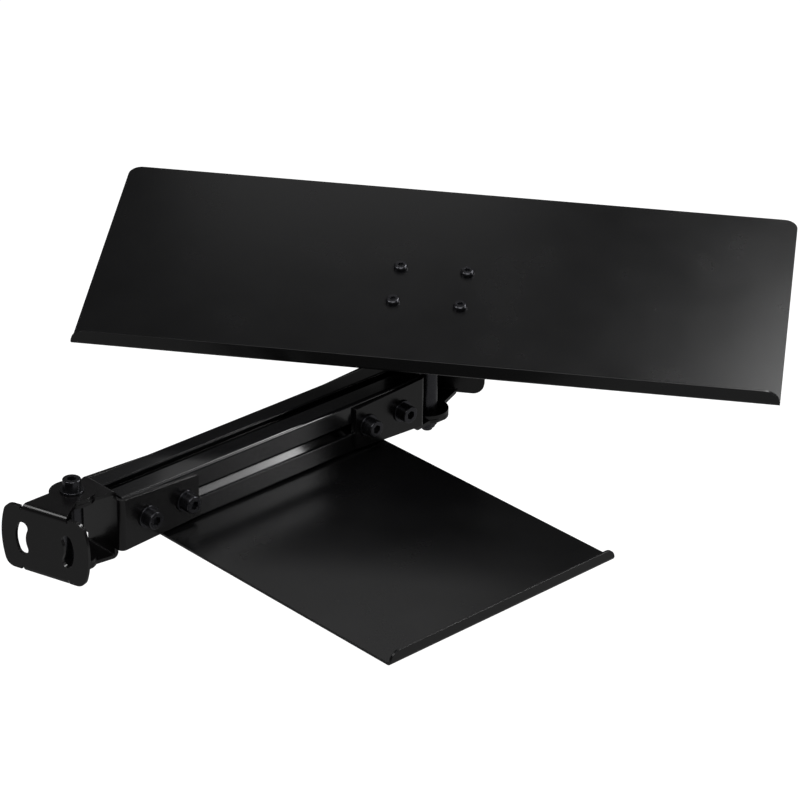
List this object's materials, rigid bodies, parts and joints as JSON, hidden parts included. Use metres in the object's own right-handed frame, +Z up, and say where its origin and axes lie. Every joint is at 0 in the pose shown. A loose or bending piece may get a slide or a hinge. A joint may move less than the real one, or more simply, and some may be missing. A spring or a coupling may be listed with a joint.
{
  "type": "keyboard and mouse tray on a swivel arm",
  "caption": "Sloping keyboard tray and lower mouse tray on a slotted-profile arm with a vertical swivel at each end and an arc-slotted mounting flange.",
  "frame": {"origin": "centre of the mounting flange's outer face", "axes": "+Y along the arm from the mount end to the tray end at rest, +Z up, +X towards the mouse tray's lip; the flange's outward normal lies 17 degrees from -Y, towards +X, because the arm is swivelled in the stored pose"},
  "size_m": [0.5272, 0.6269, 0.1507],
  "materials": {
    "anodised_profile": "black anodised",
    "coated_tray": "smooth satin black powder coat",
    "coated_bracket": "semi-gloss black powder coat",
    "plated_sleeve": "black",
    "slot_nuts": "zinc plated",
    "black_fasteners": "black oxide"
  },
  "bodies": {
    "mount": {"mount_bracket": "coated_bracket", "mount_pivot_sleeve": "plated_sleeve", "mount_pivot_screw": "black_fasteners", "mount_pivot_washers": "black_fasteners", "mount_pivot_nut": "black_fasteners"},
    "arm": {"arm_profile": "anodised_profile", "mount_end_bracket": "coated_bracket", "mount_end_screws": "black_fasteners", "mount_end_washers": "black_fasteners", "mount_end_slot_nuts": "slot_nuts", "tray_end_bracket": "coated_bracket", "tray_end_screws": "black_fasteners", "tray_end_washers": "black_fasteners", "tray_end_slot_nuts": "slot_nuts"},
    "tray_swivel": {"tray_swivel_bracket": "coated_bracket", "tray_pivot_sleeve": "plated_sleeve", "tray_pivot_screw": "black_fasteners", "tray_pivot_washers": "black_fasteners", "tray_pivot_nut": "black_fasteners"},
    "keyboard_deck": {"tray_support_bracket": "coated_bracket", "level_bolts": "black_fasteners", "level_washers": "black_fasteners", "level_nuts": "black_fasteners", "keyboard_tray": "coated_tray", "keyboard_tray_screws": "black_fasteners", "keyboard_tray_washers": "black_fasteners", "keyboard_tray_nuts": "black_fasteners"},
    "mouse_deck": {"mouse_tray": "coated_tray", "mouse_tray_screws": "black_fasteners", "mouse_tray_washers": "black_fasteners", "mouse_tray_slot_nuts": "slot_nuts"}
  },
  "joints": [
    {"name": "arm_swivel", "type": "hinge", "parent": "mount", "child": "arm", "pos_m": [-0.00994, 0.03251, 0], "axis": [0, 0, 1], "range_deg": [-73, 107]},
    {"name": "tray_swivel", "type": "hinge", "parent": "arm", "child": "tray_swivel", "pos_m": [-0.00994, 0.36951, 0], "axis": [0, 0, 1], "range_deg": [-128.6, 51.4]},
    {"name": "tray_level", "type": "hinge", "parent": "tray_swivel", "child": "keyboard_deck", "pos_m": [-0.03115, 0.39609, 0], "axis": [-0.6239, 0.7815, 0], "range_deg": [-5.7, 4.3]},
    {"name": "mouse_tray_slide", "type": "slide", "parent": "arm", "child": "mouse_deck", "axis": [0, 1, 0], "range_m": [-0.015, 0.015]}
  ]
}
